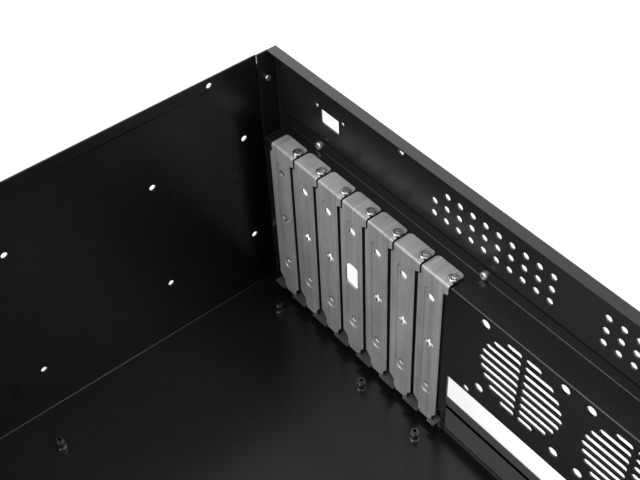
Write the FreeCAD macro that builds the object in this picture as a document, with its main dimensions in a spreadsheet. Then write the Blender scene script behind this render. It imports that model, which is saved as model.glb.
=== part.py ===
import FreeCAD, Part
import Sketcher
import math
import os

V = FreeCAD.Vector
doc = FreeCAD.newDocument("RackServerCase")

# ---------------------------------------------------------------- dimensions
# Lengths in millimetres.  X runs along the rear wall from the inner face of
# the left wall, Y from the inner face of the recessed panel to the rear, Z up
# from the top of the floor.
DIMS = [
    ("place_x", -214.0), ("place_y", 226.3), ("place_z", 1.0),
    ("sheet", 1.0), ("inner_width", 428.0), ("wall_top", 170.4),
    ("tray_front", 430.8), ("tray_rear", 18.1),
    ("strip_drop", 8.0), ("strip_top", 171.2), ("strip_end", 5.35), ("strip_notch", 0.35), ("strip_bend", 1.9), ("notch_low", 165.0),
    ("wall_resume", 6.9), ("wall_back_top", 166.5), ("wall_end", 19.2),
    ("edge_round", 0.4), ("bend_in", 0.6), ("bend_out", 1.6),
    ("side_hole", 3.7), ("side_y_one", -7.0), ("side_y_two", -68.4),
    ("side_y_three", -155.6), ("side_z_high", 119.0), ("side_z_low", 42.3),
    ("side_z_high_far", 126.4), ("side_z_low_far", 33.1),
    ("lid_hole_y", -25.6), ("lid_hole_z", 166.4), ("lid_hole", 3.3),
    ("front_flange", 14.0),
    # rear wall
    ("rear_in", 18.2), ("flange_start", 6.0), ("flange_gap", 0.15), ("flange_top", 170.7), ("flange_low", 169.9), ("flange_bend", 0.6),
    ("top_lip_start", 12.9), ("top_lip_chamfer", 0.4),
    ("window_left", 12.6), ("window_right", 326.0), ("window_low", 4.4),
    ("window_high", 121.5), ("window_lip", 3.8), ("window_bend", 0.8),
    ("vent_hole", 3.95), ("vent_x_one", 127.3), ("vent_x_two", 235.7),
    ("vent_z_top", 155.0), ("vent_pitch_x", 8.53), ("vent_pitch_z", 8.14),
    ("vent_columns", 10.0),
    ("port_left", 39.1), ("port_right", 53.7), ("port_low", 141.4),
    ("port_high", 150.9), ("port_chamfer", 0.2), ("port_screw_x", 10.7),
    ("port_screw_z", 151.2), ("port_screw", 2.6),
    ("lid_rear_x", 102.3), ("lid_rear_z", 162.1), ("lid_rear_hole", 4.0),
    ("psu_x", 378.0), ("psu_z", 80.0), ("psu_open_x", 76.0),
    ("psu_open_z", 130.0), ("psu_hole", 4.2),
    # recessed panel
    ("panel_left", 10.5), ("panel_right", 328.0), ("ledge_top", 123.2),
    ("lip_top", 129.4), ("lip_rear", 17.75), ("lip_bend", 0.5), ("ledge_bend", 0.9),
    ("pitch", 20.32), ("slot_first", 24.88), ("slot_count", 7.0),
    ("slot_open", 14.3), ("slot_low", 22.0), ("slot_high", 113.8),
    ("pocket_left", 12.6), ("pocket_right", 158.8), ("pocket_top", 21.0),
    ("foot_right", 156.75), ("foot_top", 8.5), ("foot_front", -3.3),
    ("foot_back", 3.9), ("foot_slot", 8.1), ("foot_slot_wide", 6.0), ("foot_slot_right", 6.5),
    ("foot_slot_step", -1.35), ("foot_slot_back", 1.2), ("leg_gap", 14.0),
    ("tongue_shift", 0.6),
    ("io_left", 161.7), ("io_width", 158.75), ("io_low", 8.0),
    ("io_height", 48.3), ("shelf_top", 8.0), ("shelf_run", 24.0), ("shelf_front", 1.35),
    ("shelf_back", 10.9), ("shelf_left", 0.45), ("rim_low", 6.4), ("rim_thick", 0.5),
    ("fan_x", 208.6), ("fan_z", 92.9), ("fan_pitch", 65.4),
    ("fan_half", 25.0), ("fan_hole", 5.6), ("grille_radius", 26.8),
    ("grille_pitch", 5.65), ("grille_slot", 3.7), ("grille_bar", 2.5),
    ("tie_x", 175.0), ("tie_z", 59.0), ("tie_hole", 4.0),
    # slot covers
    ("cover_sheet", 1.0), ("cover_face", -1.1), ("cover_half", 8.9),
    ("cover_low", 6.3), ("tongue_half", 5.4), ("tongue_top", 13.6),
    ("shoulder_low", 17.7), ("tongue_top_right", 11.4), ("shoulder_low_right", 15.4), ("step_low", 116.9), ("step_high", 118.5),
    ("tab_left", -6.9), ("tab_right", 12.2), ("cover_top", 124.35),
    ("tab_back", 10.2), ("tab_round", 2.4), ("cover_bend", 1.5),
    ("emboss_half", 4.5), ("emboss_low", 28.0), ("emboss_high", 113.5),
    ("emboss_deep", 0.65), ("emboss_slope", 45.0), ("cover_hole_high", 105.4), ("cover_hole", 4.9),
    ("cover_star", 70.2), ("star_reach", 3.35), ("star_arm", 0.85),
    ("star_root", 1.1), ("cover_hole_low", 34.5), ("cover_hole_small", 3.8),
    ("cover_screw_x", 10.0), ("cover_screw_y", 4.1), ("cover_notch", 4.4),
    # fasteners
    ("head", 6.4), ("head_high", 2.1), ("slot_head", 5.8), ("slot_head_high", 1.8),
    ("lip_head", 4.8), ("lip_head_high", 1.9), ("shank", 3.0), ("shank_hole", 3.4),
    ("drive_half", 1.6), ("drive_arm", 0.36), ("drive_deep", 0.9),
    ("lip_screw_one", 38.8), ("lip_screw_two", 165.8), ("lip_screw_z", 125.75),
    ("flange_screw_y", 11.4), ("flange_screw_z", 153.5), ("flange_head", 4.2),
    # board supports
    ("hex_across", 4.6), ("hex_high", 5.2), ("stub", 3.5), ("stub_high", 2.0),
    ("stub_hole", 2.5), ("stub_deep", 5.0), ("hex_base", 5.8), ("hex_base_high", 0.8), ("hex_round", 0.2),
    ("board_x_one", 27.7), ("board_x_two", 106.4), ("board_x_three", 152.2),
    ("board_x_four", 309.6), ("board_y_one", -12.7), ("board_y_io", -35.5),
    ("board_y_two", -167.6), ("board_y_three", -240.0),
    # front plate
    ("face_front", -433.8), ("face_back", -430.8), ("face_width", 482.6),
    ("face_low", -1.0), ("face_high", 176.0), ("ear_hole_x", 232.55),
    ("ear_hole_low", 36.7), ("ear_hole_high", 138.3), ("ear_slot", 7.0),
    ("ear_slot_run", 3.4),
    ("air_first", 42.0), ("air_pitch", 8.0), ("air_count", 37.0),
    ("air_radius", 1.7), ("air_low_one", 24.0), ("air_high_one", 72.0),
    ("air_low_two", 92.0), ("air_high_two", 140.0),
    ("handle_x", 220.0), ("handle_low", 32.5), ("handle_high", 142.5),
    ("handle_reach", 33.5), ("handle_bar", 9.0), ("handle_bend", 11.0),
    ("handle_foot", 13.0), ("handle_foot_high", 2.0), ("handle_tap", 4.2),
    ("handle_screw", 4.0), ("handle_hole", 4.6),
    ("face_screw_x", 206.0), ("face_screw_low", 14.0), ("face_screw_mid", 87.5),
    ("face_screw_high", 150.0),
    ("bar_low", 150.0), ("bar_deep", 16.0), ("bar_side", 13.0),
    # controls
    ("button_x", 386.0), ("power_z", 122.0), ("power_cap", 13.6),
    ("power_hole", 14.4), ("reset_z", 98.0), ("reset_cap", 6.0),
    ("reset_hole", 6.8), ("led_high", 80.0), ("led_low", 68.0), ("led", 5.0),
    ("led_hole", 5.3), ("press_proud", 3.2), ("holder_half", 15.0),
    ("holder_low", 58.0), ("holder_high", 138.0), ("holder_deep", 14.0),
    ("holder_gap", 0.1),
]

sheet = doc.addObject("Spreadsheet::Sheet", "Spec")
VALUES = {}
for row, (alias, value) in enumerate(DIMS, 1):
    sheet.set("A%d" % row, alias)
    sheet.set("B%d" % row, repr(value))
    sheet.setAlias("B%d" % row, alias)
    VALUES[alias] = value
doc.recompute()


class Dim(object):
    """A number together with the sheet expression it comes from."""

    def __init__(self, value, text):
        self.value = float(value)
        self.text = text

    def _join(self, other, sign, swap=False):
        a, b = (as_dim(other), self) if swap else (self, as_dim(other))
        number = {"+": lambda p, q: p + q, "-": lambda p, q: p - q,
                  "*": lambda p, q: p * q, "/": lambda p, q: p / q}[sign]
        return Dim(number(a.value, b.value), "(%s %s %s)" % (a.text, sign, b.text))

    def __add__(self, o): return self._join(o, "+")
    def __radd__(self, o): return self._join(o, "+", True)
    def __sub__(self, o): return self._join(o, "-")
    def __rsub__(self, o): return self._join(o, "-", True)
    def __mul__(self, o): return self._join(o, "*")
    def __rmul__(self, o): return self._join(o, "*", True)
    def __truediv__(self, o): return self._join(o, "/")
    def __neg__(self): return Dim(-self.value, "(0 - %s)" % self.text)


def as_dim(x):
    return x if isinstance(x, Dim) else Dim(x, repr(float(x)))


def d(alias):
    return Dim(VALUES[alias], "Spec." + alias)


def val(x):
    return x.value if isinstance(x, Dim) else float(x)


def bind(obj, prop, x):
    """Give a property its number and tie it to the sheet."""
    if isinstance(x, Dim):
        obj.setExpression(prop, x.text)
    return val(x)


# ------------------------------------------------------------------ sketching
AXES = {"XY": "XY_Plane", "XZ": "XZ_Plane", "YZ": "YZ_Plane"}


def new_body(name, placed=True):
    body = doc.addObject("PartDesign::Body", name)
    body.Label = name
    body.AllowCompound = True
    if placed:
        place(body)
    return body


def place(obj, x=0.0, y=0.0, z=0.0):
    px, py, pz = d("place_x") + x, d("place_y") + y, d("place_z") + z
    obj.Placement = FreeCAD.Placement(V(px.value, py.value, pz.value), obj.Placement.Rotation)
    obj.setExpression("Placement.Base.x", px.text)
    obj.setExpression("Placement.Base.y", py.text)
    obj.setExpression("Placement.Base.z", pz.text)


def origin_feature(body, role):
    return [f for f in body.Origin.OriginFeatures if f.Role == role][0]


def new_sketch(body, plane, at, name):
    sk = body.newObject("Sketcher::SketchObject", name)
    sk.AttachmentSupport = [(origin_feature(body, AXES[plane]), "")]
    sk.MapMode = "FlatFace"
    off = -as_dim(at) if plane == "XZ" else as_dim(at)
    sk.AttachmentOffset = FreeCAD.Placement(V(0, 0, off.value), FreeCAD.Rotation())
    sk.setExpression("AttachmentOffset.Base.z", off.text)
    return sk


def tie(sk, geo, pos, x, y):
    """Hold one sketch point at x, y from the origin."""
    for kind, c in (("DistanceX", x), ("DistanceY", y)):
        n = sk.addConstraint(Sketcher.Constraint(kind, -1, 1, geo, pos, val(c)))
        if isinstance(c, Dim):
            sk.setExpression("Constraints[%d]" % n, c.text)


def poly(sk, pts):
    first = sk.GeometryCount
    n = len(pts)
    for i in range(n):
        a, b = pts[i], pts[(i + 1) % n]
        sk.addGeometry(Part.LineSegment(V(val(a[0]), val(a[1]), 0), V(val(b[0]), val(b[1]), 0)), False)
    for i in range(n):
        sk.addConstraint(Sketcher.Constraint("Coincident", first + i, 2, first + (i + 1) % n, 1))
    for i, p in enumerate(pts):
        tie(sk, first + i, 1, p[0], p[1])


def rect(sk, x0, y0, x1, y1):
    poly(sk, [(x0, y0), (x1, y0), (x1, y1), (x0, y1)])


def circle(sk, x, y, dia):
    g = sk.addGeometry(Part.Circle(V(val(x), val(y), 0), V(0, 0, 1), val(dia) / 2), False)
    tie(sk, g, 3, x, y)
    n = sk.addConstraint(Sketcher.Constraint("Diameter", g, val(dia)))
    if isinstance(dia, Dim):
        sk.setExpression("Constraints[%d]" % n, dia.text)


def obround(sk, x0, y0, x1, y1, rad):
    """Round-ended slot between two centres, lying along X or along Y."""
    ax, ay, bx, by, r = val(x0), val(y0), val(x1), val(y1), val(rad)
    ang = math.atan2(by - ay, bx - ax)
    nx, ny = -math.sin(ang) * r, math.cos(ang) * r
    g = sk.GeometryCount
    sk.addGeometry(Part.LineSegment(V(ax - nx, ay - ny, 0), V(bx - nx, by - ny, 0)), False)
    sk.addGeometry(Part.ArcOfCircle(Part.Circle(V(bx, by, 0), V(0, 0, 1), r), ang - math.pi / 2, ang + math.pi / 2), False)
    sk.addGeometry(Part.LineSegment(V(bx + nx, by + ny, 0), V(ax + nx, ay + ny, 0)), False)
    sk.addGeometry(Part.ArcOfCircle(Part.Circle(V(ax, ay, 0), V(0, 0, 1), r), ang + math.pi / 2, ang + 3 * math.pi / 2), False)
    for i in range(4):
        sk.addConstraint(Sketcher.Constraint("Tangent", g + i, 2, g + (i + 1) % 4, 1))
    tie(sk, g + 1, 3, x1, y1)
    tie(sk, g + 3, 3, x0, y0)
    n = sk.addConstraint(Sketcher.Constraint("Radius", g + 1, r))
    if isinstance(rad, Dim):
        sk.setExpression("Constraints[%d]" % n, rad.text)


def volume(body):
    return body.Shape.Volume if not body.Shape.isNull() else 0.0


def pad(body, plane, lo, hi, draw, name):
    """Add material between two levels along the plane's axis."""
    before = volume(body)
    sk = new_sketch(body, plane, hi if plane == "XZ" else lo, name + "_sketch")
    draw(sk)
    f = body.newObject("PartDesign::Pad", name)
    f.Profile = sk
    length = as_dim(hi) - lo
    f.Length = length.value
    f.setExpression("Length", length.text)
    body.Tip = f
    doc.recompute()
    if volume(body) <= before:
        raise RuntimeError("no material added by " + name)
    return f


def pocket(body, plane, lo, hi, draw, name, slope=None):
    """Take material away between two levels along the plane's axis; slope narrows it with depth."""
    before = volume(body)
    sk = new_sketch(body, plane, lo if plane == "XZ" else hi, name + "_sketch")
    draw(sk)
    f = body.newObject("PartDesign::Pocket", name)
    f.Profile = sk
    length = as_dim(hi) - lo
    f.Length = length.value
    f.setExpression("Length", length.text)
    if slope is not None:
        f.TaperAngle = bind(f, "TaperAngle", slope)
    body.Tip = f
    doc.recompute()
    if volume(body) >= before:
        raise RuntimeError("no material taken by " + name)
    return f


def repeat(body, features, role, length, count, name):
    f = body.newObject("PartDesign::LinearPattern", name)
    f.Originals = features
    f.Direction = (origin_feature(body, role), [""])
    f.Length = val(length)
    f.setExpression("Length", as_dim(length).text)
    f.Occurrences = int(round(val(count)))
    if isinstance(count, Dim):
        f.setExpression("Occurrences", count.text)
    body.Tip = f
    doc.recompute()
    return f


def rounding(body, radius, pick, name):
    """Fillet the straight edges whose middle point is picked."""
    base = body.Tip
    names = []
    for i, e in enumerate(base.Shape.Edges, 1):
        mid = e.valueAt((e.FirstParameter + e.LastParameter) / 2.0)
        if e.Curve.TypeId == "Part::GeomLine" and pick(mid, e):
            names.append("Edge%d" % i)
    if not names:
        raise RuntimeError("no edge for " + name)
    f = body.newObject("PartDesign::Fillet", name)
    f.Base = (base, names)
    f.Radius = val(radius)
    f.setExpression("Radius", as_dim(radius).text)
    body.Tip = f
    doc.recompute()
    return f


def near(a, b, tol=0.02):
    return abs(a - val(b)) < tol


def along(e, axis):
    a, b = e.Vertexes[0].Point, e.Vertexes[-1].Point
    v = b - a
    return abs(getattr(v, axis)) > 0.99 * v.Length


def hexagon(sk, x, y, across):
    r = as_dim(across) / 1.7320508
    poly(sk, [(x + r * math.cos(math.radians(60 * i)), y + r * math.sin(math.radians(60 * i))) for i in range(6)])


def cross(sk, x, y, reach, arm):
    """Cross outline, as in a screw recess."""
    poly(sk, [(x + arm, y + arm), (x + arm, y + reach), (x - arm, y + reach), (x - arm, y + arm),
              (x - reach, y + arm), (x - reach, y - arm), (x - arm, y - arm), (x - arm, y - reach),
              (x + arm, y - reach), (x + arm, y - arm), (x + reach, y - arm), (x + reach, y + arm)])


t = d("sheet")
W = d("inner_width")
H = d("wall_top")

# ---------------------------------------------------------------- folded tray
tray = new_body("chassis_tray")
hd = d("strip_drop")
zj = H - hd
st = d("strip_top")
pad(tray, "XZ", -d("tray_front"), d("tray_rear"), lambda s: poly(s, [
    (-t, -t), (W + t, -t), (W + t, zj), (W, zj + t), (W, st), (W - t, st), (W - t, zj + t), (W, zj),
    (W, 0.0), (0.0, 0.0), (0.0, zj), (t, zj + t), (t, st), (0.0, st), (0.0, zj + t), (-t, zj)]), "tray_profile")
rounding(tray, d("bend_in"), lambda p, e: along(e, "y") and near(p.z, 0.0) and (near(p.x, 0.0) or near(p.x, W)), "tray_bend_inside")
rounding(tray, d("bend_out"), lambda p, e: along(e, "y") and near(p.z, -t) and (near(p.x, -t) or near(p.x, W + t)), "tray_bend_outside")
rounding(tray, d("edge_round"), lambda p, e: along(e, "y") and near(p.z, st), "strip_edge")
rounding(tray, d("strip_bend"), lambda p, e: along(e, "y") and near(p.z, zj + t) and (near(p.x, t) or near(p.x, W - t)), "strip_bend_inside")
# the set-in strip stops short of the rear, where the wall runs on straight
se, sn = d("strip_end"), d("strip_notch")
pocket(tray, "XY", zj - 0.4, st + t, lambda s: (
    rect(s, -t - 1.0, se + sn, t + 1.0, d("tray_rear") + 1.0),
    rect(s, W - t - 1.0, se + sn, W + t + 1.0, d("tray_rear") + 1.0)), "strip_end_clearance")
pocket(tray, "XY", d("notch_low"), st + t, lambda s: (
    rect(s, -t - 1.0, se, t + 1.0, se + sn + 0.2), rect(s, W - t - 1.0, se, W + t + 1.0, se + sn + 0.2)), "strip_end_notch")
for tag, lo in (("left", -t), ("right", W)):
    pad(tray, "YZ", lo, lo + t, lambda s: rect(s, d("wall_resume"), zj - 0.5, d("tray_rear"), d("wall_back_top")), "wall_back_" + tag)
rounding(tray, d("edge_round"), lambda p, e: along(e, "y") and near(p.z, d("wall_back_top")), "wall_back_edge")
# the walls run on past the floor and cover the ends of the rear wall
for tag, lo in (("left", -t), ("right", W)):
    pad(tray, "YZ", lo, lo + t, lambda s: rect(s, d("tray_rear") - 1.0, 1.0, d("wall_end"), d("wall_back_top") - 0.5), "wall_end_" + tag)


def side_holes(s):
    hole = d("side_hole")
    for y in ("side_y_one", "side_y_two"):
        for z in ("side_z_high", "side_z_low"):
            circle(s, d(y), d(z), hole)
    for z in ("side_z_high_far", "side_z_low_far"):
        circle(s, d("side_y_three"), d(z), hole)


pocket(tray, "YZ", -t - 1.0, W + t + 1.0, side_holes, "rail_holes")
pocket(tray, "YZ", -t - 1.0, W + t + 1.0, lambda s: circle(s, d("lid_hole_y"), d("lid_hole_z"), d("lid_hole")), "lid_holes")
# front edges turned inward to carry the front plate
ff = d("front_flange")
pad(tray, "XZ", -d("tray_front"), -d("tray_front") + t, lambda s: (
    rect(s, -t, 3.0, ff, H - hd - 1.5), rect(s, W - ff, 3.0, W + t, H - hd - 1.5)), "front_flanges")


def face_screw_spots():
    return [(W / 2 + sgn * d("face_screw_x"), d(z)) for sgn in (-1, 1)
            for z in ("face_screw_low", "face_screw_mid", "face_screw_high")]


pocket(tray, "XZ", -d("tray_front") - 1.0, -d("tray_front") + 2.0, lambda s: [
    circle(s, x, z, d("shank_hole")) for x, z in face_screw_spots()], "front_flange_holes")
# holes for the screws of the rear wall's flanges
pocket(tray, "YZ", -t - 1.0, W + t + 1.0, lambda s: circle(s, d("flange_screw_y"), d("flange_screw_z"), d("shank_hole")), "flange_screw_holes")

# ----------------------------------------------------------------- rear wall
rear = new_body("rear_panel")
ri = d("rear_in")
fg = d("flange_gap")
pad(rear, "XZ", ri, ri + t, lambda s: rect(s, fg, -t, W - fg, H), "rear_sheet")
fl, ls = d("flange_low"), d("top_lip_start")
for tag, lo in (("left", fg), ("right", W - fg - t)):
    pad(rear, "YZ", lo, lo + t, lambda s: poly(s, [
        (d("flange_start"), 0.3), (ri + t, 0.3), (ri + t, fl), (ls + 0.2, fl),
        (ls + 0.2, d("flange_top")), (d("flange_start"), d("flange_top"))]), "rear_%s_flange" % tag)
tc = d("top_lip_chamfer")
pad(rear, "XY", H - t, H, lambda s: poly(s, [
    (fg, ri + t), (fg, ls + tc), (fg + tc, ls), (W - fg - tc, ls), (W - fg, ls + tc), (W - fg, ri + t)]), "rear_top_lip")
rounding(rear, d("flange_bend"), lambda p, e: along(e, "z") and near(p.y, ri) and (near(p.x, fg + t) or near(p.x, W - fg - t)), "rear_flange_bend")
rounding(rear, d("edge_round"), lambda p, e: along(e, "z") and near(p.y, d("flange_start")) and (near(p.x, fg + t) or near(p.x, W - fg - t)), "rear_flange_front")
pocket(rear, "XZ", ri - 1.0, ri + t + 1.0, lambda s: rect(
    s, d("window_left"), d("window_low"), d("window_right"), d("window_high")), "rear_window")
pad(rear, "XY", d("window_low") - t, d("window_low"), lambda s: rect(
    s, d("window_left"), ri - d("window_lip"), d("window_right"), ri + t), "rear_window_lip")
rounding(rear, d("window_bend"), lambda p, e: along(e, "x") and near(p.y, ri + t) and near(p.z, d("window_low")), "rear_window_bend")
vh, vx, vz = d("vent_hole"), d("vent_pitch_x"), d("vent_pitch_z")
zt = d("vent_z_top")
v1 = pocket(rear, "XZ", ri - 1.0, ri + t + 1.0, lambda s: (
    circle(s, d("vent_x_one"), zt - vz, vh), circle(s, d("vent_x_one"), zt - vz * 2, vh)), "vent_left_first")
repeat(rear, [v1], "X_Axis", vx * (d("vent_columns") - 1), d("vent_columns"), "vent_left_rows")
v2 = pocket(rear, "XZ", ri - 1.0, ri + t + 1.0, lambda s: circle(s, d("vent_x_one") + vx, zt, vh), "vent_left_top_first")
repeat(rear, [v2], "X_Axis", vx * (d("vent_columns") - 2), d("vent_columns") - 1, "vent_left_top_row")
v3 = pocket(rear, "XZ", ri - 1.0, ri + t + 1.0, lambda s: (
    circle(s, d("vent_x_two"), zt, vh), circle(s, d("vent_x_two"), zt - vz, vh),
    circle(s, d("vent_x_two"), zt - vz * 2, vh)), "vent_right_first")
repeat(rear, [v3], "X_Axis", vx * (d("vent_columns") - 1), d("vent_columns"), "vent_right_rows")
pl, pr, po, ph, pc = d("port_left"), d("port_right"), d("port_low"), d("port_high"), d("port_chamfer")
pocket(rear, "XZ", ri - 1.0, ri + t + 1.0, lambda s: poly(s, [
    (pl + pc, po), (pr, po), (pr, ph), (pl, ph), (pl, po + pc)]), "port_cutout")
pm = (pl + pr) / 2
pocket(rear, "XZ", ri - 1.0, ri + t + 1.0, lambda s: (
    circle(s, pm - d("port_screw_x"), d("port_screw_z"), d("port_screw")),
    circle(s, pm + d("port_screw_x"), d("port_screw_z"), d("port_screw")),
    circle(s, d("lid_rear_x"), d("lid_rear_z"), d("lid_rear_hole")),
    circle(s, W - d("lid_rear_x"), d("lid_rear_z"), d("lid_rear_hole"))), "rear_small_holes")
px, pz = d("psu_x"), d("psu_z")
qx, qz = d("psu_open_x") / 2, d("psu_open_z") / 2
pocket(rear, "XZ", ri - 1.0, ri + t + 1.0, lambda s: poly(s, [
    (px - qx + 6, pz - qz), (px + qx - 6, pz - qz), (px + qx, pz - qz + 6), (px + qx, pz + qz - 6),
    (px + qx - 6, pz + qz), (px - qx + 6, pz + qz), (px - qx, pz + qz - 6), (px - qx, pz - qz + 6)]), "supply_opening")
ph2 = d("psu_hole")
pocket(rear, "XZ", ri - 1.0, ri + t + 1.0, lambda s: (
    circle(s, px + 37, pz - 69, ph2), circle(s, px + 37, pz + 69, ph2),
    circle(s, px - 27, pz - 69, ph2), circle(s, px - 37, pz + 69, ph2)), "supply_screw_holes")
pocket(rear, "XZ", ri - 1.0, ri + t + 1.0, lambda s: (
    circle(s, d("lip_screw_one"), d("lip_screw_z"), d("shank_hole")),
    circle(s, d("lip_screw_two"), d("lip_screw_z"), d("shank_hole"))), "lip_screw_holes")
pocket(rear, "YZ", -1.0, W + 1.0, lambda s: circle(s, d("flange_screw_y"), d("flange_screw_z"), d("shank_hole")), "rear_flange_holes")

# ------------------------------------------------------------ recessed panel
slot = new_body("slot_panel")
L, R_ = d("panel_left"), d("panel_right")
lt, lr = d("ledge_top"), d("lip_rear")
pad(slot, "XZ", 0.0, t, lambda s: rect(s, L, 0.1, R_, lt), "slot_sheet")
pad(slot, "XY", lt - t, lt, lambda s: rect(s, L, 0.0, R_, lr), "slot_ledge")
pad(slot, "XZ", lr - t, lr, lambda s: rect(s, L, lt - t, R_, d("lip_top")), "slot_lip")
pad(slot, "YZ", L, L + t, lambda s: rect(s, 0.0, 0.1, lr, lt), "slot_left_cheek")
pad(slot, "YZ", R_ - t, R_, lambda s: rect(s, 0.0, 0.1, lr, lt), "slot_right_cheek")
rounding(slot, d("ledge_bend"), lambda p, e: along(e, "x") and near(p.y, 0.0) and near(p.z, lt), "slot_top_bend")
rounding(slot, d("lip_bend"), lambda p, e: along(e, "x") and near(p.y, lr - t) and near(p.z, lt), "slot_lip_bend")
# the foot of the panel steps back behind the covers' tongues
pocket(slot, "XZ", -1.0, t + 1.0, lambda s: rect(s, d("pocket_left"), -1.0, d("pocket_right"), d("pocket_top")), "foot_clearance")
fb, fr, ft, pt = d("foot_back"), d("foot_front"), d("foot_top"), d("pocket_top")
pad(slot, "YZ", L + t, d("foot_right"), lambda s: poly(s, [
    (0.0, pt + 0.6), (0.0, pt), (fb, pt - 4), (fb, 0.1),
    (fb + t, 0.1), (fb + t, pt - 3.6), (t, pt + 0.4), (t, pt + 0.6)]), "foot_fold")
# low shelf behind the connector opening, between the stepped foot and the right cheek
sh, sl = d("shelf_top"), d("foot_right") + d("shelf_left")
pad(slot, "XY", sh - t, sh, lambda s: poly(s, [
    (d("foot_right") - d("shelf_run"), fb + 0.6), (sl, fb + 0.6), (sl, d("shelf_front")), (R_ - 0.5, d("shelf_front")),
    (R_ - 0.5, d("shelf_back")), (d("foot_right") - d("shelf_run"), d("shelf_back"))]), "slot_shelf")
sf, sp, sc = d("slot_first"), d("pitch"), d("slot_count")
so = d("slot_open") / 2
s1 = pocket(slot, "XZ", -1.0, t + 1.0, lambda s: rect(s, sf - so, d("slot_low"), sf + so, d("slot_high")), "slot_first_opening")
repeat(slot, [s1], "X_Axis", sp * (sc - 1), sc, "slot_openings")
s3 = pocket(slot, "XY", lt - t - 1.0, lt + 1.0, lambda s: circle(s, sf + d("cover_screw_x"), d("cover_screw_y"), d("shank_hole")), "cover_screw_first_hole")
repeat(slot, [s3], "X_Axis", sp * (sc - 1), sc, "cover_screw_holes")
iol, iow = d("io_left"), d("io_width")
pocket(slot, "XZ", -1.0, t + 1.0, lambda s: rect(s, iol, d("io_low"), iol + iow, d("io_low") + d("io_height")), "connector_opening")
# only a narrow rim is left below the opening
pocket(slot, "XZ", -1.0, t + 0.2, lambda s: rect(s, d("pocket_right") - 0.5, -1.0, iol + iow, d("rim_low")), "rim_clearance")
pocket(slot, "XZ", d("rim_thick"), t + 0.2, lambda s: rect(s, iol, d("rim_low") - 0.5, iol + iow, d("io_low") + 0.5), "rim_back")
fx, fz, fh = d("fan_x"), d("fan_z"), d("fan_half")


def grille(s):
    half = d("grille_slot") / 2
    for i in range(-4, 5):
        z = fz + d("grille_pitch") * i
        reach = math.sqrt(VALUES["grille_radius"] ** 2 - (VALUES["grille_pitch"] * abs(i) + VALUES["grille_slot"] / 2) ** 2)
        end = d("grille_radius") * (reach / VALUES["grille_radius"]) - half
        start = d("grille_bar") / 2 + half
        obround(s, fx + start, z, fx + end, z, half)
        obround(s, fx - end, z, fx - start, z, half)


f1 = pocket(slot, "XZ", -1.0, t + 1.0, grille, "grille_first")
f2 = pocket(slot, "XZ", -1.0, t + 1.0, lambda s: [
    circle(s, fx + fh * i, fz + fh * j, d("fan_hole")) for i in (-1, 1) for j in (-1, 1)], "fan_first_holes")
repeat(slot, [f1, f2], "X_Axis", d("fan_pitch"), 2, "fan_positions")
pocket(slot, "XZ", -1.0, t + 1.0, lambda s: circle(s, d("tie_x"), d("tie_z"), d("tie_hole")), "tie_point")
pocket(slot, "XZ", lr - t - 1.0, lr + 1.0, lambda s: (
    circle(s, d("lip_screw_one"), d("lip_screw_z"), d("shank_hole")),
    circle(s, d("lip_screw_two"), d("lip_screw_z"), d("shank_hole"))), "lip_holes")

# --------------------------------------------- strip that takes the tongues
strip = new_body("tongue_strip")
sb = fb - 0.05
pad(strip, "YZ", d("pocket_left") + 0.1, d("foot_right"), lambda s: poly(s, [
    (fr, ft), (fr, ft - t), (sb - t, ft - t), (sb - t, 0.1), (sb, 0.1), (sb, ft)]), "tongue_strip_profile")
rounding(strip, d("edge_round"), lambda p, e: along(e, "x") and near(p.y, sb) and near(p.z, ft), "tongue_strip_bend")
fs = d("foot_slot") / 2
tc_ = sf + d("tongue_shift")
fw_, fe_, fp_, fk_ = d("foot_slot_wide"), d("foot_slot_right"), d("foot_slot_step"), d("foot_slot_back")
s2 = pocket(strip, "XY", ft - t - 0.5, ft + 1.0, lambda s: poly(s, [
    (tc_ - fs, fr - 1.0), (tc_ + fs, fr - 1.0), (tc_ + fs, fp_), (tc_ + fe_, fp_),
    (tc_ + fe_, fk_), (tc_ - fw_, fk_), (tc_ - fw_, fp_), (tc_ - fs, fp_)]), "tongue_first_notch")
lg = d("leg_gap") / 2
s4 = pocket(strip, "XZ", sb - t - 0.5, sb + 0.5, lambda s: rect(s, tc_ - lg, -1.0, tc_ + lg, ft - t), "strip_first_leg_gap")
repeat(strip, [s2, s4], "X_Axis", sp * (sc - 1), sc, "tongue_notches")

# ----------------------------------------------------------------- slot covers
cy, ct = d("cover_face"), d("cover_sheet")
ch = d("cover_half")
ts, th = d("tongue_shift"), d("tongue_half")


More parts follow.
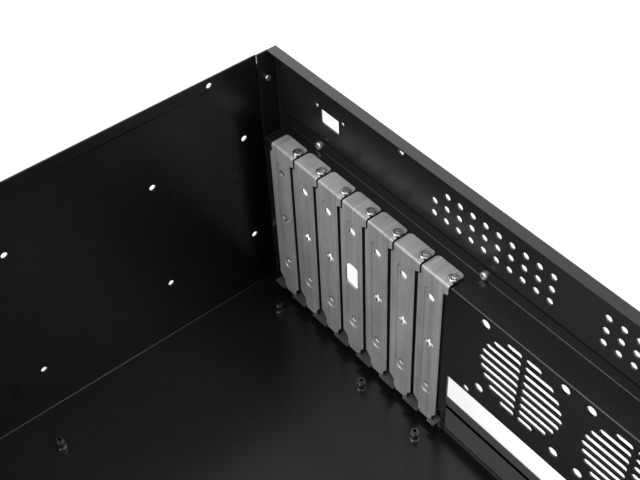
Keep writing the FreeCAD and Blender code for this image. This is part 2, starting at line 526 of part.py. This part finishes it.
def build_cover(index):
    body = new_body("slot_cover_%d" % index, False)
    place(body, d("slot_first") + d("pitch") * (index - 1))
    top = d("cover_top")
    pad(body, "XZ", cy, cy + ct, lambda s: poly(s, [
        (ts - th, d("cover_low")), (ts + th, d("cover_low")), (ts + th, d("tongue_top_right")),
        (ch, d("shoulder_low_right")), (ch, d("step_low")), (d("tab_right"), d("step_high")),
        (d("tab_right"), top), (d("tab_left"), top), (d("tab_left"), d("step_high")),
        (-ch, d("step_low")), (-ch, d("shoulder_low")), (ts - th, d("tongue_top"))]), "cover_%d_face" % index)
    pad(body, "XY", top - ct, top, lambda s: rect(s, d("tab_left"), cy, d("tab_right"), d("tab_back")), "cover_%d_tab" % index)
    rounding(body, d("tab_round"), lambda p, e: along(e, "z") and near(p.y, d("tab_back")), "cover_%d_tab_corners" % index)
    rounding(body, d("cover_bend"), lambda p, e: along(e, "x") and near(p.y, cy) and near(p.z, top), "cover_%d_bend" % index)
    n, sx = d("cover_notch") / 2, d("cover_screw_x")
    pocket(body, "XY", top - ct - 1.0, top + 1.0, lambda s: obround(
        s, sx, d("cover_screw_y"), d("tab_right") + 4.0, d("cover_screw_y"), n), "cover_%d_screw_notch" % index)
    eh = d("emboss_half")
    lo, hi = d("emboss_low") + eh, d("emboss_high") - eh
    pad(body, "XZ", cy + ct, cy + ct + d("emboss_deep"), lambda s: obround(
        s, 0.2, lo, 0.2, hi, eh - 0.3), "cover_%d_emboss_back" % index)
    pocket(body, "XZ", cy, cy + d("emboss_deep"), lambda s: obround(
        s, 0.2, lo, 0.2, hi, eh), "cover_%d_emboss" % index, -d("emboss_slope"))
    pocket(body, "XZ", cy - 1.0, cy + ct + 2.0, lambda s: (
        circle(s, 0.0, d("cover_hole_high"), d("cover_hole")),
        circle(s, 0.2, d("cover_hole_low"), d("cover_hole_small"))), "cover_%d_holes" % index)
    if index == 4:
        pocket(body, "XZ", cy - 1.0, cy + ct + 2.0, lambda s: poly(s, [
            (-5.5, 65.2), (-5.5, 75.4), (-4.5, 77.9), (-2.3, 79.2), (1.9, 79.2), (3.7, 78.5), (4.1, 76.9),
            (4.1, 64.2), (3.1, 62.3), (0.6, 61.6), (-2.3, 62.0), (-4.5, 63.1)]), "cover_4_port")
    else:
        z, rr, aa, ro = d("cover_star"), d("star_reach"), d("star_arm"), d("star_root")
        pocket(body, "XZ", cy - 1.0, cy + ct + 2.0, lambda s: poly(s, [
            (0.3 + ro, z + ro), (0.3 + aa, z + rr), (0.3 - aa, z + rr), (0.3 - ro, z + ro),
            (0.3 - rr, z + aa), (0.3 - rr, z - aa), (0.3 - ro, z - ro), (0.3 - aa, z - rr),
            (0.3 + aa, z - rr), (0.3 + ro, z - ro), (0.3 + rr, z - aa), (0.3 + rr, z + aa)]), "cover_%d_star" % index)
    return body


covers = [build_cover(i) for i in range(1, 8)]


# ------------------------------------------------------------------- fasteners
def screws(name, plane, face, sign, spots, head, head_high, shank, run, cap=0.5):
    """Pan-head screws standing on one level; sign +1 puts the heads above it."""
    body = new_body(name)
    face = as_dim(face)
    lo, hi = (face, face + head_high) if sign > 0 else (face - head_high, face)
    pad(body, plane, lo, hi, lambda s: [circle(s, x, y, head) for x, y in spots], name + "_heads")
    lo2, hi2 = (face - run, face) if sign > 0 else (face, face + run)
    pad(body, plane, lo2, hi2, lambda s: [circle(s, x, y, shank) for x, y in spots], name + "_shanks")
    outer = face + head_high * sign
    axis = {"XY": "z", "XZ": "y", "YZ": "x"}[plane]
    base = body.Tip
    names = ["Edge%d" % i for i, e in enumerate(base.Shape.Edges, 1)
             if e.Curve.TypeId == "Part::GeomCircle" and near(getattr(e.Curve.Center, axis), outer)
             and near(e.Curve.Radius, val(head) / 2)]
    f = body.newObject("PartDesign::Fillet", name + "_crown")
    f.Base = (base, names)
    f.Radius = val(head_high) * cap
    body.Tip = f
    doc.recompute()
    dd = d("drive_deep")
    lo3, hi3 = (outer - dd, outer + 1.0) if sign > 0 else (outer - 1.0, outer + dd)
    pocket(body, plane, lo3, hi3, lambda s: [cross(s, x, y, d("drive_half"), d("drive_arm")) for x, y in spots], name + "_recess")
    return body


slot_screws = new_body("slot_screws")
hx, hy, hz = d("slot_first") + d("cover_screw_x"), d("cover_screw_y"), d("cover_top")
a1 = pad(slot_screws, "XY", hz, hz + d("slot_head_high"), lambda s: circle(s, hx, hy, d("slot_head")), "slot_screw_head")
edge = [i for i, e in enumerate(slot_screws.Shape.Edges, 1)
        if e.Curve.TypeId == "Part::GeomCircle" and near(e.Curve.Center.z - VALUES["place_z"], hz + d("slot_head_high"))]
crown = slot_screws.newObject("PartDesign::Fillet", "slot_screw_crown")
crown.Base = (a1, ["Edge%d" % edge[0]])
crown.Radius = 0.9
slot_screws.Tip = crown
doc.recompute()
a2 = pad(slot_screws, "XY", hz - 6.0, hz, lambda s: circle(s, hx, hy, d("shank")), "slot_screw_shank")
a3 = pocket(slot_screws, "XY", hz + d("slot_head_high") - d("drive_deep"), hz + d("slot_head_high") + 1.0,
            lambda s: cross(s, hx, hy, d("drive_half"), d("drive_arm")), "slot_screw_recess")
repeat(slot_screws, [a1, crown, a2, a3], "X_Axis", d("pitch") * (d("slot_count") - 1), d("slot_count"), "slot_screw_row")

screws("lip_screws", "XZ", d("lip_rear") - t, -1,
       [(d("lip_screw_one"), d("lip_screw_z")), (d("lip_screw_two"), d("lip_screw_z"))],
       d("lip_head"), d("lip_head_high"), d("shank"), 2.0)
screws("left_flange_screw", "YZ", fg + t, 1, [(d("flange_screw_y"), d("flange_screw_z"))],
       d("flange_head"), d("lip_head_high"), d("shank"), 2.1)
screws("right_flange_screw", "YZ", W - fg - t, -1, [(d("flange_screw_y"), d("flange_screw_z"))],
       d("flange_head"), d("lip_head_high"), d("shank"), 2.1)

# -------------------------------------------------------------- board supports
stand = new_body("board_standoffs")
GRID = [("board_x_one", "board_y_one"), ("board_x_two", "board_y_one"), ("board_x_three", "board_y_one"),
        ("board_x_four", "board_y_io"), ("board_x_one", "board_y_two"), ("board_x_two", "board_y_two"),
        ("board_x_three", "board_y_two"), ("board_x_four", "board_y_two"), ("board_x_one", "board_y_three"),
        ("board_x_three", "board_y_three"), ("board_x_four", "board_y_three")]
hxh, sth = d("hex_high"), d("stub_high")
pad(stand, "XY", 0.0, d("hex_base_high"), lambda s: [circle(s, d(a), d(b), d("hex_base")) for a, b in GRID], "standoff_bases")
pad(stand, "XY", d("hex_base_high"), hxh, lambda s: [hexagon(s, d(a), d(b), d("hex_across")) for a, b in GRID], "standoff_hexes")
pad(stand, "XY", hxh, hxh + sth, lambda s: [circle(s, d(a), d(b), d("stub")) for a, b in GRID], "standoff_stubs")
pocket(stand, "XY", hxh + sth - d("stub_deep"), hxh + sth + 1.0, lambda s: [circle(s, d(a), d(b), d("stub_hole")) for a, b in GRID], "standoff_threads")
base_, rims = stand.Tip, []
for i, e in enumerate(base_.Shape.Edges, 1):
    if e.Curve.TypeId == "Part::GeomCircle" and near(e.Curve.Center.z, d("hex_base_high")) and near(e.Curve.Radius, d("hex_base") / 2):
        rims.append("Edge%d" % i)
rim = stand.newObject("PartDesign::Fillet", "standoff_base_rims")
rim.Base = (base_, rims)
rim.Radius = VALUES["hex_round"]
rim.setExpression("Radius", d("hex_round").text)
stand.Tip = rim
doc.recompute()

# ------------------------------------------------------------------ front plate
front = new_body("front_panel")
y0, y1 = d("face_front"), d("face_back")
mid = W / 2
fw = d("face_width") / 2
pad(front, "XZ", y0, y1, lambda s: rect(s, mid - fw, d("face_low"), mid + fw, d("face_high")), "face_plate")
rounding(front, 1.0, lambda p, e: near(p.y, y0), "face_edge")


def ears(s):
    for sgn in (-1, 1):
        for z in ("ear_hole_low", "ear_hole_high"):
            x = mid + d("ear_hole_x") * sgn
            obround(s, x - d("ear_slot_run") / 2, d(z), x + d("ear_slot_run") / 2, d(z), d("ear_slot") / 2)


pocket(front, "XZ", y0 - 1.0, y1 + 1.0, ears, "ear_slots")
ax_, ar = d("air_first"), d("air_radius")
b1 = pocket(front, "XZ", y0 - 1.0, y1 + 1.0, lambda s: (
    obround(s, ax_, d("air_low_one"), ax_, d("air_high_one"), ar),
    obround(s, ax_, d("air_low_two"), ax_, d("air_high_two"), ar)), "air_slot_first")
repeat(front, [b1], "X_Axis", d("air_pitch") * (d("air_count") - 1), d("air_count"), "air_slots")
bx_ = d("button_x")
pocket(front, "XZ", y0 - 1.0, y1 + 1.0, lambda s: (
    circle(s, bx_, d("power_z"), d("power_hole")), circle(s, bx_, d("reset_z"), d("reset_hole")),
    circle(s, bx_, d("led_high"), d("led_hole")), circle(s, bx_, d("led_low"), d("led_hole"))), "control_holes")
handle_spots = [(mid + d("handle_x") * sgn, d(z)) for sgn in (-1, 1) for z in ("handle_low", "handle_high")]
pocket(front, "XZ", y0 - 1.0, y1 + 1.0, lambda s: [circle(s, x, z, d("handle_hole")) for x, z in handle_spots], "handle_holes")
pocket(front, "XZ", y0 - 1.0, y1 + 1.0, lambda s: [circle(s, x, z, d("shank_hole")) for x, z in face_screw_spots()], "face_screw_holes")

screws("front_screws", "XZ", y0, -1, face_screw_spots(), d("head"), d("head_high"), d("shank"), 7.0)
screws("handle_screws", "XZ", y1, 1, handle_spots, 7.0, d("head_high"), d("handle_screw"), 11.0)

# cross bar that carries the front edge of the lid
bar = new_body("front_crossbar")
bs, bd = d("bar_side"), d("bar_deep")
yb = -d("tray_front") + t + 0.1
pad(bar, "YZ", bs, W - bs, lambda s: poly(s, [
    (yb, d("bar_low")), (yb + t, d("bar_low")), (yb + t, H - t), (yb + bd, H - t), (yb + bd, H - t - 6.0),
    (yb + bd + t, H - t - 6.0), (yb + bd + t, H), (yb, H)]), "bar_profile")
pad(bar, "XZ", yb, yb + t, lambda s: (
    rect(s, 2.0, d("bar_low") - 12.0, bs + 6.0, H - hd - 1.5), rect(s, W - bs - 6.0, d("bar_low") - 12.0, W - 2.0, H - hd - 1.5)), "bar_ends")
pocket(bar, "XZ", yb - 1.0, yb + t + 1.0, lambda s: [
    circle(s, x, z, d("shank_hole")) for x, z in face_screw_spots() if abs(val(z) - VALUES["face_screw_high"]) < 0.1], "bar_holes")


# --------------------------------------------------------------------- handles
def handle(name, sgn):
    x = W / 2 + d("handle_x") * sgn
    lo, hi, reach = d("handle_low"), d("handle_high"), d("handle_reach")
    dia, bend = d("handle_bar"), d("handle_bend")
    parts = []

    def cyl(tag, radius, height, base, axis, angle):
        c = doc.addObject("Part::Cylinder", name + "_" + tag)
        c.Radius = bind(c, "Radius", radius)
        c.Height = bind(c, "Height", height)
        c.Placement = FreeCAD.Placement(V(*[val(b) for b in base]), FreeCAD.Rotation(axis, angle))
        for key, b in zip("xyz", base):
            c.setExpression("Placement.Base." + key, as_dim(b).text)
        return c

    def elbow(tag, base, rot):
        c = doc.addObject("Part::Torus", name + "_" + tag)
        c.Radius1 = bind(c, "Radius1", bend)
        c.Radius2 = bind(c, "Radius2", dia / 2)
        c.Angle3 = 90.0
        c.Placement = FreeCAD.Placement(V(*[val(b) for b in base]), rot)
        for key, b in zip("xyz", base):
            c.setExpression("Placement.Base." + key, as_dim(b).text)
        return c

    for tag, z in (("low", lo), ("high", hi)):
        parts.append(cyl(tag + "_leg", dia / 2, reach - bend, (x, y0, z), V(1, 0, 0), 90))
        parts.append(cyl(tag + "_foot", d("handle_foot") / 2, d("handle_foot_high"), (x, y0, z), V(1, 0, 0), 90))
    parts.append(cyl("grip", dia / 2, hi - lo - bend * 2, (x, y0 - reach, lo + bend), V(0, 0, 1), 0))
    # torus quarters: local X and Y carry the bend, turned into the Y-Z plane
    parts.append(elbow("low_bend", (x, y0 - reach + bend, lo + bend),
                       FreeCAD.Rotation(V(0, -1, 0), V(0, 0, -1), V(1, 0, 0), "XYZ")))
    parts.append(elbow("high_bend", (x, y0 - reach + bend, hi - bend),
                       FreeCAD.Rotation(V(0, 0, 1), V(0, -1, 0), V(1, 0, 0), "XYZ")))
    fuse = doc.addObject("Part::MultiFuse", name + "_bow")
    fuse.Shapes = parts
    fuse.Refine = True
    doc.recompute()
    taps = [cyl(tag + "_tap", d("handle_tap") / 2, 11.0, (x, y0 + 1.0, z), V(1, 0, 0), 90) for tag, z in (("low", lo), ("high", hi))]
    both = doc.addObject("Part::MultiFuse", name + "_taps")
    both.Shapes = taps
    cut = doc.addObject("Part::Cut", name)
    cut.Label = name
    cut.Base = fuse
    cut.Tool = both
    place(cut)
    doc.recompute()
    return cut


handle("handle_left", -1)
handle("handle_right", 1)


# -------------------------------------------------------------------- controls
def button(name, z, cap, flange, stem):
    body = new_body(name)
    proud = d("press_proud")
    pad(body, "XZ", y0 - proud, y1 + 0.6, lambda s: circle(s, bx_, z, cap), name + "_cap")
    base = body.Tip
    names = ["Edge%d" % i for i, e in enumerate(base.Shape.Edges, 1)
             if e.Curve.TypeId == "Part::GeomCircle" and near(e.Curve.Center.y, y0 - proud)]
    f = body.newObject("PartDesign::Fillet", name + "_crown")
    f.Base = (base, names)
    f.Radius = 0.8
    body.Tip = f
    doc.recompute()
    pad(body, "XZ", y1 + 0.5, y1 + 2.5, lambda s: circle(s, bx_, z, flange), name + "_flange")
    pad(body, "XZ", y1 + 2.4, y1 + 12.5, lambda s: circle(s, bx_, z, stem), name + "_stem")
    return body


button("power_button", d("power_z"), d("power_cap"), d("power_cap") + 4.0, 5.0)
button("reset_button", d("reset_z"), d("reset_cap"), d("reset_cap") + 3.0, 3.0)

holder = new_body("switch_holder")
hh, hg = d("holder_half"), d("holder_gap")
pad(holder, "XZ", y1 + hg, y1 + d("holder_deep"), lambda s: rect(s, bx_ - hh, d("holder_low"), bx_ + hh, d("holder_high")), "holder_block")
rounding(holder, 2.0, lambda p, e: along(e, "y"), "holder_corners")
pocket(holder, "XZ", y1 - 1.0, y1 + 9.0, lambda s: (
    circle(s, bx_, d("power_z"), d("power_cap") + 6.0), circle(s, bx_, d("reset_z"), d("reset_cap") + 5.0)), "holder_wells")
pocket(holder, "XZ", y1 + 8.0, y1 + d("holder_deep") + 1.0, lambda s: (
    circle(s, bx_, d("power_z"), 5.8), circle(s, bx_, d("reset_z"), 3.8)), "holder_guides")
pocket(holder, "XZ", y1 - 1.0, y1 + d("holder_deep") + 1.0, lambda s: (
    circle(s, bx_, d("led_high"), d("led_hole")), circle(s, bx_, d("led_low"), d("led_hole"))), "holder_lamp_holes")


def lamp(name, z):
    body = new_body(name)
    pad(body, "XZ", y0 - 1.8, y1 + 7.0, lambda s: circle(s, bx_, z, d("led")), name + "_lens")
    base = body.Tip
    names = ["Edge%d" % i for i, e in enumerate(base.Shape.Edges, 1)
             if e.Curve.TypeId == "Part::GeomCircle" and near(e.Curve.Center.y, y0 - 1.8)]
    f = body.newObject("PartDesign::Fillet", name + "_dome")
    f.Base = (base, names)
    f.Radius = 1.7
    body.Tip = f
    doc.recompute()
    return body


lamp("power_lamp", d("led_high"))
lamp("drive_lamp", d("led_low"))

doc.recompute()

# ---------------------------------------------------------------------- output
NODES = ["chassis_tray", "rear_panel", "slot_panel", "tongue_strip"] + ["slot_cover_%d" % i for i in range(1, 8)] + [
    "slot_screws", "lip_screws", "left_flange_screw", "right_flange_screw", "board_standoffs", "front_panel",
    "front_screws", "handle_screws", "front_crossbar", "handle_left", "handle_right", "power_button",
    "reset_button", "switch_holder", "power_lamp", "drive_lamp"]
for obj in doc.Objects:
    if "Invalid" in obj.State or "Error" in obj.State:
        raise RuntimeError("feature in error: " + obj.Name)
os.makedirs("parts", exist_ok=True)
for name in NODES:
    shape = doc.getObject(name).Shape
    if shape.isNull() or not shape.isValid():
        raise RuntimeError("bad shape: " + name)
    box = shape.BoundBox
    print("%-20s solids %d volume %.1f box %.1f %.1f %.1f / %.1f %.1f %.1f" % (
        name, len(shape.Solids), shape.Volume, box.XMin, box.YMin, box.ZMin, box.XMax, box.YMax, box.ZMax))
    shape.exportStep("parts/%s.step" % name)
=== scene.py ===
import math
import bpy
import bmesh
from mathutils import Matrix, Vector

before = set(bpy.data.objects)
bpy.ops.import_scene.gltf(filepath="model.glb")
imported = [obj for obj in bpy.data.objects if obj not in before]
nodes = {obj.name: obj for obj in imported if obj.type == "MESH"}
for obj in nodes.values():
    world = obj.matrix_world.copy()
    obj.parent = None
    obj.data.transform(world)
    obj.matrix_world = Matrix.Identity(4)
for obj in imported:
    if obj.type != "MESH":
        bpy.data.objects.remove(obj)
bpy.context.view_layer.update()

scene = bpy.context.scene
scene.view_settings.view_transform = "Standard"
scene.view_settings.look = "None"

# ------------------------------------------------------------------- camera
right = Vector((0.6287414, 0.7767873, -0.035857))
down = Vector((0.5420219, -0.4708504, -0.6960691))
ahead = Vector((-0.5575809, 0.4182122, -0.7170789))
cam_data = bpy.data.cameras.new("camera")
cam = bpy.data.objects.new("camera", cam_data)
scene.collection.objects.link(cam)
m = Matrix((right, -down, -ahead)).transposed().to_4x4()
m.translation = Vector((0.1894891, -0.0338595, 0.5235650))
cam.matrix_world = m
cam_data.sensor_width = 36.0
cam_data.lens = 62.048
cam_data.clip_start = 0.01
cam_data.clip_end = 20.0
scene.camera = cam


# ---------------------------------------------------------------- materials
def material(name):
    mat = bpy.data.materials.new(name)
    mat.use_nodes = True
    nt = mat.node_tree
    bsdf = nt.nodes["Principled BSDF"]
    return mat, nt, bsdf


def add(nt, kind, **values):
    n = nt.nodes.new(kind)
    for key, v in values.items():
        if key in n.inputs:
            n.inputs[key].default_value = v
        else:
            setattr(n, key, v)
    return n


def coords(nt, scale=(1.0, 1.0, 1.0)):
    tc = add(nt, "ShaderNodeTexCoord")
    mp = add(nt, "ShaderNodeMapping")
    mp.inputs["Scale"].default_value = scale
    nt.links.new(tc.outputs["Object"], mp.inputs["Vector"])
    return mp.outputs["Vector"]


def noise(nt, vec, scale, detail=3.0, rough=0.55):
    n = add(nt, "ShaderNodeTexNoise")
    n.inputs["Scale"].default_value = scale
    n.inputs["Detail"].default_value = detail
    n.inputs["Roughness"].default_value = rough
    nt.links.new(vec, n.inputs["Vector"])
    return n.outputs["Fac"]


def ramp(nt, fac, stops, mode="LINEAR"):
    r = add(nt, "ShaderNodeValToRGB")
    r.color_ramp.interpolation = mode
    el = r.color_ramp.elements
    while len(el) < len(stops):
        el.new(0.5)
    for e, (p, c) in zip(el, stops):
        e.position = p
        e.color = (*c, 1.0) if len(c) == 3 else c
    nt.links.new(fac, r.inputs["Fac"])
    return r.outputs["Color"]


def grey(v):
    return (v, v, v)


def tint(c, k):
    return tuple(x * k for x in c)


def to_range(nt, fac, lo, hi, a=0.3, b=0.7):
    r = add(nt, "ShaderNodeMapRange")
    r.inputs["From Min"].default_value = a
    r.inputs["From Max"].default_value = b
    r.inputs["To Min"].default_value = lo
    r.inputs["To Max"].default_value = hi
    nt.links.new(fac, r.inputs["Value"])
    return r.outputs["Result"]


def mix(nt, a, b, share):
    n = add(nt, "ShaderNodeMix", data_type="FLOAT")
    n.inputs[0].default_value = share
    nt.links.new(a, n.inputs[2])
    nt.links.new(b, n.inputs[3])
    return n.outputs[0]


def times(nt, a, b):
    n = add(nt, "ShaderNodeMix", data_type="RGBA", blend_type="MULTIPLY")
    n.inputs[0].default_value = 1.0
    nt.links.new(a, n.inputs[6])
    nt.links.new(b, n.inputs[7])
    return n.outputs[2]


def bump(nt, height, strength, distance):
    b = add(nt, "ShaderNodeBump")
    b.inputs["Strength"].default_value = strength
    b.inputs["Distance"].default_value = distance
    nt.links.new(height, b.inputs["Height"])
    return b.outputs["Normal"]


def powder_coat(name, base, rough, grain=1.0, size=1400.0):
    """Satin coat: fine orange peel, faint patches of tone, slightly uneven gloss."""
    mat, nt, bsdf = material(name)
    v = coords(nt)
    patch = noise(nt, v, 9.0, 4.0)
    col = ramp(nt, patch, [(0.3, grey(base * 0.84)), (0.7, grey(base * 1.16))])
    nt.links.new(col, bsdf.inputs["Base Color"])
    fine = noise(nt, v, size, 2.0, 0.5)
    handled = noise(nt, v, 22.0, 5.0, 0.6)
    nt.links.new(to_range(nt, mix(nt, fine, handled, 0.5), rough - 0.05, rough + 0.05), bsdf.inputs["Roughness"])
    nt.links.new(bump(nt, fine, 0.1 * grain, 0.0001), bsdf.inputs["Normal"])
    return mat


def gap_side_shade(nt, col, shade):
    """Painted shade on the sheared side edges of a plated sheet: faces whose normal points along ±X, into the gaps
    between covers, are darkened.
    """
    tc = add(nt, "ShaderNodeTexCoord")
    xyz = add(nt, "ShaderNodeSeparateXYZ")
    nt.links.new(tc.outputs["Normal"], xyz.inputs["Vector"])
    side = add(nt, "ShaderNodeMath", operation="ABSOLUTE")
    nt.links.new(xyz.outputs["X"], side.inputs[0])
    return times(nt, col, ramp(nt, side.outputs["Value"], [(0.82, grey(1.0)), (0.95, grey(shade))]))


def plated_steel(name, base, rough, lines=(900.0, 22.0, 14.0), metal=0.85, contrast=1.0, gap_shade=None):
    """Dull plated steel with fine rolling lines and faint blotches."""
    mat, nt, bsdf = material(name)
    v = coords(nt)
    patch = noise(nt, v, 60.0, 5.0, 0.6)
    broad = noise(nt, coords(nt, tuple(0.45 * k for k in lines)), 1.0, 2.0)
    fine = noise(nt, coords(nt, tuple(2.2 * k for k in lines)), 1.0, 3.0, 0.65)
    rolled = mix(nt, broad, fine, 0.45)
    tone = mix(nt, patch, rolled, 0.7)
    col = ramp(nt, tone, [(0.32, grey(base * (1.0 - 0.24 * contrast))), (0.68, grey(base * (1.0 + 0.18 * contrast)))])
    # Optional painted shade on the ±X-facing side edges, where the gaps between covers are in shade.
    if gap_shade is not None:
        col = gap_side_shade(nt, col, gap_shade)
    nt.links.new(col, bsdf.inputs["Base Color"])
    bsdf.inputs["Metallic"].default_value = metal
    nt.links.new(to_range(nt, rolled, rough - 0.05, rough + 0.07), bsdf.inputs["Roughness"])
    nt.links.new(bump(nt, rolled, 0.06, 0.0001), bsdf.inputs["Normal"])
    return mat


def turned_metal(name, base, rough):
    """Bright fastener metal with fine machining marks and dull spots."""
    mat, nt, bsdf = material(name)
    v = coords(nt)
    spots = noise(nt, v, 700.0, 4.0, 0.6)
    col = ramp(nt, spots, [(0.35, tint(base, 0.72)), (0.62, tint(base, 1.08))])
    nt.links.new(col, bsdf.inputs["Base Color"])
    bsdf.inputs["Metallic"].default_value = 1.0
    nt.links.new(to_range(nt, spots, rough + 0.1, rough - 0.04), bsdf.inputs["Roughness"])
    nt.links.new(bump(nt, noise(nt, v, 2600.0, 2.0), 0.05, 0.00005), bsdf.inputs["Normal"])
    return mat


def moulded(name, base, rough, grain=1400.0, depth=0.25):
    """Injection-moulded plastic with a fine spark-eroded grain."""
    mat, nt, bsdf = material(name)
    v = coords(nt)
    flow = noise(nt, v, 60.0, 3.0)
    col = ramp(nt, flow, [(0.3, tint(base, 0.85)), (0.7, tint(base, 1.15))])
    nt.links.new(col, bsdf.inputs["Base Color"])
    fine = noise(nt, v, grain, 3.0, 0.6)
    nt.links.new(to_range(nt, fine, rough - 0.06, rough + 0.08), bsdf.inputs["Roughness"])
    nt.links.new(bump(nt, fine, depth, 0.00008), bsdf.inputs["Normal"])
    return mat


def lens(name, base):
    """Tinted clear plastic of an indicator lamp, unlit."""
    mat, nt, bsdf = material(name)
    v = coords(nt)
    swirl = noise(nt, v, 350.0, 3.0)
    col = ramp(nt, swirl, [(0.3, tint(base, 0.8)), (0.7, tint(base, 1.2))])
    nt.links.new(col, bsdf.inputs["Base Color"])
    nt.links.new(to_range(nt, swirl, 0.1, 0.2), bsdf.inputs["Roughness"])
    bsdf.inputs["Transmission Weight"].default_value = 0.35
    bsdf.inputs["IOR"].default_value = 1.5
    return mat


coat = powder_coat("black_coat", 0.005, 0.25, 0.6)
# The next two are lighter copies of the same black coat (base 0.0105 and 0.007 against 0.005): painted light that
# brightens the rear wall and the slot panel.
rear_coat_lit = powder_coat("rear_coat_lit", 0.0105, 0.3, 0.6)
slot_coat_lit = powder_coat("slot_coat_lit", 0.007, 0.3, 0.6)
face_coat = powder_coat("front_coat", 0.016, 0.42, 3.0, 900.0)
# The covers get painted shade (factor 0.12) on their ±X-facing side edges, in the gaps between them.
zinc = plated_steel("zinc_plate", 0.4, 0.4, metal=0.3, contrast=1.7, gap_shade=0.12)
strip_zinc = plated_steel("strip_plate", 0.12, 0.42, (22.0, 900.0, 14.0), metal=0.5, contrast=1.4)
bright = turned_metal("screw_steel", grey(0.66), 0.2)
plated_head = turned_metal("screw_plate", grey(0.8), 0.4)
dark = turned_metal("dark_screw", grey(0.05), 0.34)
alu = plated_steel("handle_metal", 0.6, 0.3, (1500.0, 1500.0, 30.0), metal=1.0, contrast=0.5)
supports = turned_metal("support_metal", grey(0.22), 0.22)
key_black = moulded("key_black", grey(0.02), 0.42)
key_grey = moulded("key_grey", grey(0.16), 0.4)
holder_black = moulded("holder_black", grey(0.012), 0.55, 900.0, 0.5)
green_lens = lens("green_lens", (0.05, 0.42, 0.10))
amber_lens = lens("amber_lens", (0.62, 0.26, 0.03))

LOOK = {
    "chassis_tray": coat, "rear_panel": rear_coat_lit, "slot_panel": slot_coat_lit, "front_crossbar": coat, "front_panel": face_coat,
    "tongue_strip": strip_zinc, "slot_screws": bright, "lip_screws": plated_head, "left_flange_screw": bright,
    "right_flange_screw": bright, "handle_screws": bright, "front_screws": dark, "board_standoffs": supports,
    "handle_left": alu, "handle_right": alu, "power_button": key_grey, "reset_button": key_black,
    "switch_holder": holder_black, "power_lamp": green_lens, "drive_lamp": amber_lens,
}
for i in range(1, 8):
    LOOK["slot_cover_%d" % i] = zinc
for name, mat in LOOK.items():
    me = nodes[name].data
    me.materials.clear()
    me.materials.append(mat)

# -------------------------------------------------------------------- stage
bm = bmesh.new()
bmesh.ops.create_grid(bm, x_segments=2, y_segments=2, size=6.0)
me = bpy.data.meshes.new("floor")
bm.to_mesh(me)
bm.free()
floor = bpy.data.objects.new("floor", me)
scene.collection.objects.link(floor)
mat, nt, bsdf = material("floor")
bsdf.inputs["Base Color"].default_value = (0.9, 0.9, 0.9, 1.0)
bsdf.inputs["Roughness"].default_value = 0.9
me.materials.append(mat)

world = bpy.data.worlds.new("world")
scene.world = world
world.use_nodes = True
world.node_tree.nodes["Background"].inputs["Color"].default_value = (1.0, 1.0, 1.0, 1.0)
world.node_tree.nodes["Background"].inputs["Strength"].default_value = 0.6


def area(name, loc, target, size, power):
    ld = bpy.data.lights.new(name, "AREA")
    ld.shape = "RECTANGLE"
    ld.size, ld.size_y = size
    ld.energy = power
    ob = bpy.data.objects.new(name, ld)
    scene.collection.objects.link(ob)
    ob.location = loc
    ob.rotation_mode = "QUATERNION"
    ob.rotation_quaternion = (Vector(target) - Vector(loc)).to_track_quat("-Z", "Y")
    return ob


area("key_light", (-0.6, -1.28, 1.52), (-0.05, 0.2, 0.1), (1.3, 0.9), 22.0)
area("front_fill", (0.1, -1.9, 0.95), (0.0, 0.22, 0.1), (1.6, 0.8), 17.0)
area("back_light", (-1.45, 1.3, 1.25), (-0.05, 0.2, 0.1), (3.0, 1.0), 15.0)
area("side_light", (1.9, 1.1, 1.8), (-0.1, 0.2, 0.1), (1.5, 1.5), 20.0)
area("floor_light", (0.3, 2.4, 1.8), (-0.1, 0.5, 0.0), (1.5, 1.5), 36.0)
area("top_light", (0.0, 0.1, 1.9), (0.0, 0.1, 0.0), (1.2, 1.2), 5.5)
